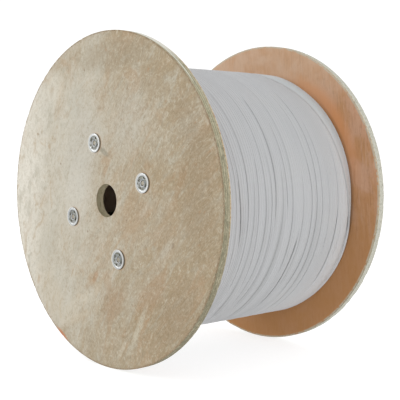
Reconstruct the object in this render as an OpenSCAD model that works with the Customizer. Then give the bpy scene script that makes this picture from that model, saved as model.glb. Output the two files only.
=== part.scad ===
// Reel: a plywood drum on a board barrel, held by four tie rods and wound full of cable.
// +Z is up. The reel's axis is Y, and the origin is on it, midway between the flanges.
// The front flange is on the -Y side, and the reel stands on the rims of its two flanges.

/* [Flanges] */
// Diameter of each plywood flange
flange_d = 500; // [440:5:640]
// Thickness of each flange
flange_t = 13; // [12:0.5:20]
// Clear width between the flanges, which the cable fills
traverse = 317; // [260:1:380]
// Chamfer on both corners of a flange's rim
rim_chamfer = 0.8; // [0.3:0.1:2]
// Diameter of the arbor hole in each flange
arbor_d = 49; // [30:1:80]

/* [Barrel] */
// Outside diameter of the board tube that the cable is wound on
barrel_d = 212; // [180:1:240]
// Wall of the board tube
barrel_wall = 5; // [3:0.5:8]
// Depth of the groove in each flange that an end of the tube stands in
groove_depth = 4; // [2:0.5:5]

/* [Tie rods] */
// Diameter of a tie rod
rod_d = 8; // [6:1:9]
// Distance from a tie rod to the inside of the barrel
rod_inset = 7; // [3:0.5:15]
// Angle of the first tie rod about the axis, from +X towards +Z
rod_angle = 18.5; // [0:0.5:45]
// How deep the rod's front end lies inside the mouth of its tee nut
rod_recess = 0.8; // [0.2:0.1:2]
// How far the rod's back end stands out of its hex nut
rod_stub = 3; // [1:0.5:8]
// Chamfer on both ends of a rod
rod_chamfer = 0.8; // [0.3:0.1:1.2]

/* [Tee nuts] */
// Diameter of the tee nut's flange
tee_d = 29; // [26:0.5:32]
// Diameter inside the flat outer ring of the tee nut's flange
tee_dish_d = 21; // [20:0.5:22]
// Thickness of the tee nut's flange
tee_t = 1.6; // [1.2:0.1:2.5]
// How deep the tee nut's flange is pressed into the plywood
tee_sunk = 0.6; // [0.2:0.1:1]
// Depth of the dished zone around the tee nut's mouth
tee_dish = 0.5; // [0.2:0.1:0.7]
// Wall of the tee nut's threaded barrel
tee_wall = 1; // [0.8:0.1:1.5]
// Length of the tee nut's barrel below the face of the plywood
tee_barrel = 11; // [8:0.5:11.5]
// Width of the window that a prong is bent out of
window_w = 4; // [3.5:0.5:5]
// Width of a prong at its root
prong_w = 3.4; // [2.6:0.2:3.4]
// Thickness of a prong
prong_t = 1.2; // [0.8:0.1:1.5]
// Depth of a prong's tip below the face of the plywood
prong_depth = 7; // [4:0.5:8]
// Length of a window along the tee nut's radius
window_l = 2.6; // [2:0.1:3]
// Distance from a window to the edge of the dished zone
window_edge = 0.6; // [0.4:0.1:1]

/* [Washers and nuts] */
// Outside diameter of a washer
washer_d = 28; // [24:1:34]
// Thickness of a washer
washer_t = 2; // [1:0.5:3]
// Distance across the flats of a hex nut
nut_flats = 13; // [13:0.5:17]
// Height of a hex nut
nut_h = 6.5; // [5:0.5:9]

/* [Cable] */
// How far the flanges stand above the wound cable
rim_height = 46; // [20:1:70]
// Loops that the outer layer shows, side by side from flange to flange
loops = 24; // [18:1:24]
// Gap between neighbouring loops
loop_gap = 0.8; // [0.7:0.1:1.5]
// Angle about the axis where the outer layer starts, just past where its loops step sideways
lead_angle = 225; // [0:5:355]
// Radius that the cable bends on where it dives into the layers below
dive_radius = 18; // [14:1:24]

/* [Clearances] */
// Clearance between the barrel and the sides of its groove
seat_clearance = 0.25; // [0.1:0.05:0.5]
// Clearance of a rod in the plywood
hole_clearance = 0.3; // [0.1:0.05:0.6]
// Clearance of a rod in its tee nut, washer and hex nut
thread_clearance = 0.05; // [0.02:0.01:0.1]
// Clearance of a tee nut in the plywood
press_clearance = 0.1; // [0.05:0.05:0.2]
// Clearance of the cable to the barrel, the flanges and its own layers
cable_clearance = 0.3; // [0.2:0.05:0.5]

/* [Hidden] */
$fn = 128;
cut = 1;
rods = 4;
prongs = 4;
loop_rings = 24;
loop_sides = 6;
step_rings = 6;
dive_rings = 4;
face_y = traverse / 2 + flange_t;
flange_r = flange_d / 2;
barrel_r = barrel_d / 2;
rod_r = rod_d / 2;
rod_circle_r = barrel_r - barrel_wall - rod_inset - rod_r;
thread_r = rod_r + thread_clearance;
tee_barrel_r = rod_r + tee_wall;
tee_proud = tee_t - tee_sunk;
window_x = tee_dish_d / 2 - window_edge;
prong_top = (tee_proud - tee_dish - tee_sunk) / 2;
rod_l = face_y - rod_recess + tee_proud + face_y + washer_t + nut_h + rod_stub;

// The outer layer: loops that lie square to the axis and step sideways to the next one over a
// quarter of a turn. The tube's flat sides lie inwards and outwards
wound_r = flange_r - rim_height;
loop_pitch = (traverse - 2 * cable_clearance + loop_gap) / loops;
loop_d = loop_pitch - loop_gap;
loop_r = loop_d / 2;
layer_r = wound_r - loop_r * cos(180 / loop_sides);
layer_y = -traverse / 2 + cable_clearance + loop_r;
core_r = (layer_r - loop_r * cos(180 / loop_sides)) * cos(180 / loop_rings) - cable_clearance;
dive_depth = layer_r - dive_radius - loop_d;
end_angle = lead_angle - step_rings * 360 / loop_rings;

RODS = [1:rods];

// Stands children on a flange's outer face: z = 0 is the face, +z points away from the reel
module on_front() translate([0, -face_y, 0]) rotate([90, 0, 0]) children();
module on_back() translate([0, face_y, 0]) rotate([-90, 0, 0]) children();

// Puts children on tie rod i, with the reel's axis still along Y
module at_rod(i) rotate([0, -rod_angle - (i - 1) * 360 / rods, 0])
    translate([rod_circle_r, 0, 0]) children();

module ring(outer_r, inner_r, h) rotate_extrude()
    translate([inner_r, 0]) square([outer_r - inner_r, h]);

// A flange before its rods' holes are drilled, below its outer face
module flange_blank() difference() {
    rotate_extrude() polygon([
        [arbor_d / 2, -flange_t], [flange_r - rim_chamfer, -flange_t],
        [flange_r, rim_chamfer - flange_t], [flange_r, -rim_chamfer],
        [flange_r - rim_chamfer, 0], [arbor_d / 2, 0]]);
    translate([0, 0, -flange_t - cut])
        ring(barrel_r + seat_clearance, barrel_r - barrel_wall - seat_clearance,
             groove_depth + cut);
}

module front_flange() color("burlywood") difference() {
    on_front() flange_blank();
    for (i = RODS) at_rod(i) on_front() {
        translate([0, 0, -flange_t - cut])
            cylinder(r = tee_barrel_r + press_clearance, h = flange_t + 2 * cut);
        translate([0, 0, -tee_sunk]) cylinder(r = tee_d / 2 + press_clearance, h = tee_sunk + cut);
        all_prongs(press_clearance);
    }
}

module back_flange() color("burlywood") difference() {
    on_back() flange_blank();
    for (i = RODS) at_rod(i) on_back() translate([0, 0, -flange_t - cut])
        cylinder(r = rod_r + hole_clearance, h = flange_t + 2 * cut);
}

module barrel() color("peru")
    translate([0, traverse / 2 + groove_depth, 0]) rotate([90, 0, 0])
        ring(barrel_r, barrel_r - barrel_wall, traverse + 2 * groove_depth);

// Four pointed prongs, each straddling the outer edge of its window
module all_prongs(clearance) for (k = [1:prongs]) rotate(45 + k * 360 / prongs)
    translate([window_x - prong_t / 2 - clearance, 0, 0]) rotate([90, 0, 90])
        linear_extrude(prong_t + 2 * clearance) polygon([
            [-prong_w / 2 - clearance, prong_top], [prong_w / 2 + clearance, prong_top],
            [0, -prong_depth - clearance]]);

// A tee nut: a dished flange with four windows, a threaded barrel and four prongs
module tee_nut() color("silver") {
    difference() {
        rotate_extrude() polygon([
            [thread_r, -tee_barrel], [tee_barrel_r, -tee_barrel], [tee_barrel_r, -tee_sunk],
            [tee_d / 2, -tee_sunk], [tee_d / 2, tee_proud / 2],
            [tee_d / 2 - tee_proud / 2, tee_proud], [tee_dish_d / 2 + tee_dish, tee_proud],
            [tee_dish_d / 2, tee_proud - tee_dish], [tee_barrel_r + tee_dish, tee_proud - tee_dish],
            [tee_barrel_r, tee_proud], [thread_r, tee_proud]]);
        for (k = [1:prongs]) rotate(45 + k * 360 / prongs)
            translate([window_x - window_l, -window_w / 2, -tee_sunk - cut])
                cube([window_l, window_w, tee_t + 2 * cut]);
    }
    all_prongs(0);
}

module tie_rod() color("darkgray") rotate_extrude() polygon([
    [0, 0], [rod_r - rod_chamfer, 0], [rod_r, rod_chamfer],
    [rod_r, rod_l - rod_chamfer], [rod_r - rod_chamfer, rod_l], [0, rod_l]]);

module washer() color("silver") ring(washer_d / 2, thread_r, washer_t);

// A hex nut whose two faces are chamfered to a circle
module hex_nut() color("silver") difference() {
    intersection() {
        cylinder(d = nut_flats / cos(30), h = nut_h, $fn = 6);
        rotate_extrude() polygon([
            [0, 0], [nut_flats / 2, 0], [nut_flats / 2 + 1, 0.5], [nut_flats / 2 + 1, nut_h - 0.5],
            [nut_flats / 2, nut_h], [0, nut_h]]);
    }
    translate([0, 0, -cut]) cylinder(r = thread_r, h = nut_h + 2 * cut);
}

// The layers under the outer one, as a plain core with a pocket for each end of the outer layer
module cable_inner_layers() color("gainsboro") difference() {
    translate([0, traverse / 2 - cable_clearance, 0]) rotate([90, 0, 0])
        ring(core_r, barrel_r + cable_clearance, traverse - 2 * cable_clearance);
    for (side = [-1, 1]) rotate([0, -dive_angle(side), 0])
        translate([dive_depth - cable_clearance, side * layer_y - loop_r - cable_clearance,
                   min(0, side * (dive_radius + loop_r + cable_clearance))])
            cube([core_r, loop_d + 2 * cable_clearance, dive_radius + loop_r + cable_clearance]);
}

function out(a) = [cos(a), 0, sin(a)];
function along(a) = [-sin(a), 0, cos(a)];
// A dive's point: side is -1 where the layer starts and 1 where it ends, t runs from 0 on the
// loop to 90 at the end of the bend
function dive_angle(side) = side < 0 ? lead_angle : end_angle;
function dive(side, t) = out(dive_angle(side)) * (layer_r - dive_radius * (1 - cos(t)))
    + along(dive_angle(side)) * side * dive_radius * sin(t) + [0, side * -layer_y, 0];
function dive_end(side) = dive(side, 90) - out(dive_angle(side)) * loop_d;
// Sideways place of ring k, which moves over one pitch in the last rings of each loop
function ease(t) = t <= 0 ? 0 : t * t * (3 - 2 * t);
function loop_y(k) = layer_y + loop_pitch * (floor(k / loop_rings)
    + ease((k % loop_rings - loop_rings + step_rings) / step_rings));
function layer_route() = concat(
    [dive_end(-1)],
    [for (k = [dive_rings:-1:1]) dive(-1, k * 90 / dive_rings)],
    [for (k = [0:loops * loop_rings - step_rings])
        out(lead_angle + k * 360 / loop_rings) * layer_r + [0, loop_y(k), 0]],
    [for (k = [1:dive_rings]) dive(1, k * 90 / dive_rings)],
    [dive_end(1)]);

function unit(v) = v / norm(v);
function heading(route, i) =
    unit((i < len(route) - 1 ? unit(route[i + 1] - route[i]) : [0, 0, 0])
       + (i > 0 ? unit(route[i] - route[i - 1]) : [0, 0, 0]));
// The ring of points around the route's point i, square to its heading
function tube_ring(route, i) =
    let (h = heading(route, i), inward = unit(cross(h, [0, 1, 0])), sideways = cross(inward, h))
    [for (s = [0:loop_sides - 1]) let (a = s * 360 / loop_sides)
        route[i] + loop_r * (cos(a) * sideways + sin(a) * inward)];

// One unbroken tube of triangles along a route
module tube(route) {
    n = loop_sides;
    last = len(route) - 1;
    points = [for (i = [0:last]) each tube_ring(route, i)];
    walls = [for (i = [0:last - 1], s = [0:n - 1])
        let (a = i * n + s, b = i * n + (s + 1) % n)
        each [[a, b, b + n], [a, b + n, a + n]]];
    caps = [for (s = [1:n - 2]) each [
        [0, s + 1, s], [last * n, last * n + s, last * n + s + 1]]];
    polyhedron(points, concat(walls, caps));
}

// The least distance from a point to the stretch between a and b
function reach(p, a, b) =
    let (t = min(1, max(0, (p - a) * (b - a) / ((b - a) * (b - a))))) norm(a + t * (b - a) - p);
// The least gap of the tube to itself, measured from each point of its route to each stretch
// of it that is more than half a loop away
function least_gap(route) = min([
    for (i = [0:len(route) - 1], j = [i + loop_rings / 2:1:len(route) - 2])
        reach(route[i], route[j], route[j + 1])]) - loop_d;

module cable_outer_layer() {
    route = layer_route();
    echo(least_gap_of_the_outer_layer_to_itself = least_gap(route));
    color("lightgray") tube(route);
}

front_flange();
back_flange();
barrel();
cable_inner_layers();
cable_outer_layer();
for (i = RODS) {
    at_rod(i) on_front() tee_nut();
    at_rod(i) on_front()
        translate([0, 0, tee_proud - rod_recess - rod_l]) tie_rod();
    at_rod(i) on_back() washer();
    at_rod(i) on_back()
        translate([0, 0, washer_t]) hex_nut();
}
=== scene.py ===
import math
import random
from contextlib import contextmanager

import bmesh
import bpy
from mathutils import Matrix, Vector, noise


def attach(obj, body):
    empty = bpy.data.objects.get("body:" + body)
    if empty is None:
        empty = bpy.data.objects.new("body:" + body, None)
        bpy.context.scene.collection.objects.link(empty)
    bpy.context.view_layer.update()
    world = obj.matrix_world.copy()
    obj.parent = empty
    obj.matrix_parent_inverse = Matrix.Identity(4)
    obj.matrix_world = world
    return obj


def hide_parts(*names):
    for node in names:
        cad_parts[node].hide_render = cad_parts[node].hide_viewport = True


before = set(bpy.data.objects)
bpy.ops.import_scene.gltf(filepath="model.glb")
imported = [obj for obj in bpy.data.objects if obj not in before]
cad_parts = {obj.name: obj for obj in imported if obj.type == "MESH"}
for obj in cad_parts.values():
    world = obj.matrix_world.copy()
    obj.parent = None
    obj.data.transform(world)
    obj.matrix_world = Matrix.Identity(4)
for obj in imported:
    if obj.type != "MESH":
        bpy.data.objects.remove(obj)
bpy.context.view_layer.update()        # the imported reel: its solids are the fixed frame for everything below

scene = bpy.context.scene
BODY = "root"
MM = 0.001

# ---------------------------------------------------------------- sizes, as in the part's source
FLANGE_R = 250 * MM
FLANGE_T = 13 * MM
TRAVERSE = 317 * MM
ARBOR_R = 24.5 * MM
BARREL_R = 106 * MM
BARREL_WALL = 5 * MM
GROOVE_DEPTH = 4 * MM
SEAT_CLEARANCE = 0.25 * MM
ROD_R = 4 * MM
ROD_CIRCLE_R = 90 * MM
ROD_ANGLE = math.radians(18.5)
RODS = 4
ROD_RECESS = 0.8 * MM
ROD_STUB = 3 * MM
TEE_R = 14.5 * MM
TEE_DISH_R = 10.5 * MM
TEE_T = 1.6 * MM
TEE_SUNK = 0.6 * MM
TEE_DISH = 0.5 * MM
TEE_BARREL_R = 5 * MM
TEE_BARREL = 11 * MM
PRONGS = 4
PRONG_DEPTH = 7 * MM
PRONG_NEAR = 9.3 * MM                # from the tee nut's axis
PRONG_T = 1.2 * MM
PRONG_HALF = 1.7 * MM
PRONG_TOP = 0.05 * MM
WINDOW_NEAR = 7.0 * MM               # the windows' ends, from the tee nut's axis
WINDOW_FAR = 9.6 * MM
WINDOW_HALF = 2.1 * MM
WASHER_R = 14 * MM
WASHER_T = 2 * MM
NUT_FLATS = 13 * MM
NUT_H = 6.5 * MM
THREAD_R = 4.05 * MM
INNER_FACE_Y = TRAVERSE / 2
OUTER_FACE_Y = TRAVERSE / 2 + FLANGE_T
TEE_PROUD = TEE_T - TEE_SUNK

# ---------------------------------------------------------------- the wound cable
CABLE_D = 4 * MM
CABLE_GAP = 0.3 * MM                 # between the winding and each flange
TURNS = 79
TURN_POINTS = 96
CABLE_SIDES = 10
WOUND_R = 203.9 * MM
HANG = 0.8 * MM                      # the winding's middle hangs this far below the axis
PITCH = (TRAVERSE - 2 * CABLE_GAP) / TURNS
LEAD_ANGLE = math.radians(225)       # the turns step sideways over the quarter turn before it
STEP_POINTS = TURN_POINTS // 4
DIVE_R = 14 * MM
# The crossing turn: its place from the front flange at angle 0, how far it comes nearer with each
# degree, and where and how far it bulges back
CROSSING_AT = 303 * MM
CROSSING_LEAN = 0.56 * MM
BULGE_AT = 42.0
BULGE = 4 * MM

# Seams between two turns: mm from the front flange, how far they stand open and how deep the
# winding sags beside them in mm, and (degrees about the axis, mm aside) along them. A seam draws
# the turns near it along, and its twin lies on the far side of the winding
SEAMS = [
    (20, 0.4, 0.5, ((-70, 2), (0, 0), (70, 1))),
    (41, 0.5, 0.7, ((-60, 3), (0, 0), (60, -2))),
    (57.5, 0.2, 0.6, ((-30, 4.5), (0, 0), (35, -4.5))),
    (66, 0.35, 0.6, ((-16, 4), (8, -2), (25, -5), (42, -7))),
    (80, 0.45, 0.7, ((-40, 2), (10, -1), (57, -5.5))),
    (91, 0.1, 1.4, ((-62, 11), (-45, 4), (-30, 1), (14, 0))),
    (99, 0.3, 0.25, ((-42, 6), (0, 0), (22, 1))),
    (118, 0.25, 1.0, ((-52, -1), (-15, 1), (20, -2), (60, -5))),
    (129, 0.35, 1.1, ((-54, -1), (-30, 3), (0, 0), (28, -3))),
    (138, 0.4, 0.55, ((-10, -1), (10, 1), (52, 0))),
    (152.5, 0.1, 1.7, ((-68, 1), (-50, -3), (-30, -2), (-5, 0), (18, 0))),
    (162.5, 0.4, 0.3, ((-8, 1), (38, -2))),
    (174.5, 0.4, 0.8, ((-34, 3), (10, 0), (45, -2.5), (72, -5))),
    (190, 0.3, 0.6, ((-57, -1), (-35, 0), (-14, 3))),
    (197.5, 0.3, 0.8, ((-45, -2), (-5, 0), (17, -1))),
    (216, 0.45, 1.0, ((-52, -3), (-15, 1), (0, 0), (28, -7), (54, -12))),
    (230.5, 0.28, 1.3, ((-66, 3), (-10, 0), (25, -2), (58, -7))),
    (242, 0.3, 0.6, ((-62, 5), (-10, 1), (10, -1), (42, -5))),
    (255, 0.3, 0.3, ((-28, 2), (18, -2))),
    (278, 0.4, 0.4, ((-46, 4), (-12, 1), (32, -1))),
    (289, 0.3, 0.3, ((-30, 2), (-6, 0))),
    (307, 0.6, 1.6, ((-50, 3), (-20, 0), (-4, -3)))]
SEAM_REACH = 4 * MM                  # half the width over which the winding sags at a seam
# Where a seam gapes: its place, mm open, and the degrees between which it does
GAPES = {66: (1.3, -18, 12), 190: (5.0, -58, -13), 278: (2.6, -46, -4)}


# ---------------------------------------------------------------- helpers for meshes and pieces
@contextmanager
def edited(mesh):
    """A mesh open for changes, which are put back into it at the end."""
    bm = bmesh.new()
    bm.from_mesh(mesh)
    yield bm
    bm.to_mesh(mesh)
    bm.free()


def add_piece(name, mesh, finish=None, smooth_below=None):
    """Puts a mesh in the scene as a piece, with one finish and smooth faces below an angle."""
    thing = bpy.data.objects.new(name, mesh)
    scene.collection.objects.link(thing)
    if finish:
        mesh.materials.clear()
        mesh.materials.append(finish)
    if smooth_below is not None:
        with edited(mesh) as bm:
            for face in bm.faces:
                face.smooth = True
            for edge in bm.edges:
                edge.smooth = edge.calc_face_angle(0) < math.radians(smooth_below)
    return thing


def mesh_from(name, points, faces, edges=()):
    mesh = bpy.data.meshes.new(name)
    mesh.from_pydata([tuple(p) for p in points], edges, faces)
    mesh.validate()
    mesh.update()
    return mesh


def turned(name, rings, closed=False):
    """A turned shape about +Z from rings of points, each ring a list of (radius, height), with
    ring i at angle i; the profile runs so that its left side is the outside."""
    count, steps = len(rings), len(rings[0])
    points, index, poles = [], {}, {}
    for i, ring in enumerate(rings):
        angle = 2 * math.pi * i / count
        for j, (radius, height) in enumerate(ring):
            if radius < 1e-9:
                if j not in poles:
                    poles[j] = len(points)
                    points.append((0, 0, height))
                index[i, j] = poles[j]
            else:
                index[i, j] = len(points)
                points.append((radius * math.cos(angle), radius * math.sin(angle), height))
    faces = []
    for i in range(count):
        for j in range(steps if closed else steps - 1):
            a, b = index[i, j], index[i, (j + 1) % steps]
            c, d = index[(i + 1) % count, (j + 1) % steps], index[(i + 1) % count, j]
            corners = [a, d, c, b]
            corners = [v for k, v in enumerate(corners) if v != corners[k - 1]]
            if len(corners) > 2:
                faces.append(corners)
    mesh = mesh_from(name, points, faces)
    face_outwards(mesh)
    return mesh


def face_outwards(mesh):
    with edited(mesh) as bm:
        bmesh.ops.remove_doubles(bm, verts=bm.verts, dist=1e-7)
        bmesh.ops.recalc_face_normals(bm, faces=bm.faces)
        if bm.calc_volume(signed=True) < 0:
            bmesh.ops.reverse_faces(bm, faces=bm.faces)


def evaluated(thing):
    """The plain mesh that an object's modifier makes. The object goes."""
    graph = bpy.context.evaluated_depsgraph_get()
    result = bpy.data.meshes.new_from_object(thing.evaluated_get(graph), depsgraph=graph)
    bpy.data.objects.remove(thing)
    return result


def cut(mesh, cutter):
    """The mesh with the cutter's solid taken away."""
    body = add_piece("body", mesh)
    tool = add_piece("tool", cutter)
    modifier = body.modifiers.new("cut", "BOOLEAN")
    modifier.object = tool
    modifier.operation = "DIFFERENCE"
    modifier.solver = "EXACT"
    result = evaluated(body)
    bpy.data.objects.remove(tool)
    return result


def joined(name, meshes):
    whole = bpy.data.meshes.new(name)
    with edited(whole) as bm:
        for mesh in meshes:
            bm.from_mesh(mesh)
    return whole


def block(name, low, high):
    mesh = bpy.data.meshes.new(name)
    middle = (Vector(low) + Vector(high)) / 2
    with edited(mesh) as bm:
        bmesh.ops.create_cube(bm, size=1)
        for v in bm.verts:
            v.co = Vector(v.co[k] * (high[k] - low[k]) for k in range(3)) + middle
    return mesh


# On the front face +z of a fastener points along -Y, on the back face along +Y
ON_FRONT = Matrix.Translation((0, -OUTER_FACE_Y, 0)) @ Matrix.Rotation(math.pi / 2, 4, "X")
ON_BACK = Matrix.Translation((0, OUTER_FACE_Y, 0)) @ Matrix.Rotation(-math.pi / 2, 4, "X")


# ---------------------------------------------------------------- node trees
def add_node(tree, kind, inputs=(), **settings):
    """Adds a node, with each input linked to a socket or set to a value."""
    made = tree.nodes.new(kind)
    for key, value in settings.items():
        setattr(made, key, value)
    for key, value in dict(inputs).items():
        if isinstance(value, bpy.types.NodeSocket):
            tree.links.new(value, made.inputs[key])
        else:
            made.inputs[key].default_value = value
    return made


class Shaper:
    """A Geometry Nodes tree being built: each call adds a node and gives back an output."""

    def __init__(self, name, inputs):
        self.tree = bpy.data.node_groups.new(name, "GeometryNodeTree")
        sockets = [(label, "INPUT", kind) for label, kind in [("Geometry", "Geometry")] + inputs]
        for label, way, kind in sockets + [("Geometry", "OUTPUT", "Geometry")]:
            self.tree.interface.new_socket(label, in_out=way, socket_type="NodeSocket" + kind)
        self.given = self.tree.nodes.new("NodeGroupInput").outputs

    def node(self, kind, inputs=(), output=0, **settings):
        return add_node(self.tree, "GeometryNode" + kind, inputs, **settings).outputs[output]

    def math(self, operation, a, b):
        return add_node(self.tree, "ShaderNodeMath", {0: a, 1: b}, operation=operation).outputs[0]

    def about_z(self, angle):
        return add_node(self.tree, "ShaderNodeCombineXYZ", {"Z": angle}).outputs[0]

    def ended(self, shape):
        """The tree, which ends with the shape made real and given its finish."""
        real = self.node("RealizeInstances", {"Geometry": shape})
        coat = self.node("SetMaterial", {"Geometry": real, "Material": self.given["Finish"]})
        add_node(self.tree, "NodeGroupOutput", {"Geometry": coat})
        return self.tree


def cable_tree():
    """Sweeps a round cable along a line of points, and keeps how far along it each point is."""
    t = Shaper("swept_cable", [
        ("Cable Diameter", "Float"), ("Cable Sides", "Int"), ("Finish", "Material")])
    line = t.node("MeshToCurve", {"Mesh": t.given["Geometry"]})
    run = t.node("SplineParameter", output="Length")
    line = t.node("StoreNamedAttribute", {"Geometry": line, "Name": "run", "Value": run},
                  data_type="FLOAT", domain="POINT")
    half = t.math("MULTIPLY", t.given["Cable Diameter"], 0.5)
    circle = t.node("CurvePrimitiveCircle", {"Resolution": t.given["Cable Sides"], "Radius": half})
    swept = t.node("CurveToMesh", {"Curve": line, "Profile Curve": circle, "Fill Caps": True})
    return t.ended(t.node("SetShadeSmooth", {"Geometry": swept}))


def rod_circle_tree():
    """Repeats one shape on the circle of the tie rods, each turned with its place."""
    t = Shaper("on_the_rod_circle", [
        ("Rods", "Int"), ("Rod Circle Radius", "Float"), ("First Angle", "Float"),
        ("Finish", "Material")])
    circle = t.node("MeshCircle", {"Vertices": t.given["Rods"],
                                   "Radius": t.given["Rod Circle Radius"]})
    part = t.math("DIVIDE", t.node("InputIndex"), t.given["Rods"])
    placed = t.node("InstanceOnPoints", {
        "Points": circle, "Instance": t.given["Geometry"],
        "Rotation": t.about_z(t.math("MULTIPLY", part, 2 * math.pi))})
    first = t.about_z(t.given["First Angle"])
    return t.ended(t.node("Transform", {"Geometry": placed, "Rotation": first}))


SWEPT_CABLE = cable_tree()
ROD_CIRCLE = rod_circle_tree()


def grown(name, mesh, tree, values):
    """The plain mesh that a tree makes of this one."""
    worker = add_piece(name + "_worker", mesh)
    modifier = worker.modifiers.new("shape", "NODES")
    modifier.node_group = tree
    for item in tree.interface.items_tree:
        if item.in_out == "INPUT" and item.name in values:
            modifier[item.identifier] = values[item.name]
    result = evaluated(worker)
    result.name = name
    return result


def on_rods(name, mesh, first_angle, **finish):
    """A shape repeated on the four rods; its finish is given as Finish."""
    return grown(name, mesh, ROD_CIRCLE, {
        "Rods": RODS, "Rod Circle Radius": ROD_CIRCLE_R, "First Angle": first_angle, **finish})


# ---------------------------------------------------------------- finishes
# Stains and worn places on the outer face: (x, z, lean to the right in degrees, half length, half
# width) in mm, tint and amount
STAINS = [
    ((-8, 74, 118, 17, 5), (0.18, 0.172, 0.13), 0.65),
    ((-60, 75, 20, 75, 45), (0.405, 0.39, 0.343), 0.5),
    ((-75, -5, 10, 60, 40), (0.47, 0.45, 0.395), 0.45),
    ((-160, -80, 30, 46, 26), (0.345, 0.32, 0.255), 0.42),
    ((-75, 150, 30, 35, 22), (0.35, 0.34, 0.285), 0.35),
    ((55, 120, 20, 60, 38), (0.385, 0.365, 0.308), 0.5),
    ((10, 212, 88, 95, 24), (0.26, 0.212, 0.142), 0.55),
    ((200, 20, 0, 100, 38), (0.252, 0.188, 0.112), 0.6),
    ((180, 110, -25, 55, 28), (0.25, 0.19, 0.12), 0.4),
    ((105, 180, -50, 50, 26), (0.27, 0.215, 0.14), 0.3),
    ((155, -150, 42, 66, 34), (0.25, 0.18, 0.105), 0.55),
    ((132, -45, 15, 55, 30), (0.29, 0.198, 0.11), 0.35),
    ((-132, 172, 30, 34, 22), (0.53, 0.50, 0.425), 0.45),
    ((-150, -150, -40, 60, 34), (0.40, 0.345, 0.255), 0.4),
    ((14, -150, 35, 38, 24), (0.28, 0.185, 0.105), 0.55),
    ((105, -128, 40, 46, 20), (0.285, 0.185, 0.10), 0.55),
    ((60, -20, 15, 55, 28), (0.315, 0.22, 0.128), 0.5),
    ((165, 30, 25, 30, 10), (0.27, 0.175, 0.09), 0.5),
    ((-28, -116, 40, 11, 5), (0.31, 0.18, 0.09), 0.6),
    ((-185, -138, 20, 10, 4), (0.38, 0.28, 0.19), 0.5),
    ((-142, 166, 15, 13, 6), (0.28, 0.225, 0.155), 0.32),
    ((-183, 100, 100, 4, 2), (0.24, 0.18, 0.11), 0.6),
    ((150, -55, 30, 5, 3), (0.14, 0.09, 0.05), 0.5),
    ((-70, -160, 62, 52, 10), (0.49, 0.45, 0.365), 0.45),
    ((-95, -190, 70, 42, 9), (0.49, 0.445, 0.36), 0.4),
    ((-60, -180, 62, 36, 8), (0.35, 0.28, 0.185), 0.35),
    ((72, -185, 28, 48, 6), (0.44, 0.405, 0.32), 0.65),
    ((38, -215, 35, 28, 4), (0.46, 0.42, 0.34), 0.45),
    ((135, -62, 45, 26, 7), (0.43, 0.40, 0.33), 0.45),
    ((88, -12, 40, 22, 5), (0.42, 0.375, 0.30), 0.35)]
# Bands of painted shade where the turns have sunk: mm from the front flange, half width in mm,
# upper and lower angle in degrees, and amount
HOLLOWS = [
    (72, 8, 5, -75, 0.12), (96, 5, -25, -70, 0.10), (120, 7, 10, -75, 0.10),
    (138, 5, 40, -22, 0.14), (131, 6, -5, -60, 0.08), (150, 9, 0, -78, 0.15),
    (177, 9, 5, -70, 0.08), (198, 5, 5, -45, 0.14), (212, 8, -20, -75, 0.12),
    (232, 7, 5, -75, 0.13), (243, 4, 20, -70, 0.06), (306, 4, 0, -68, 0.34)]


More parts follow.
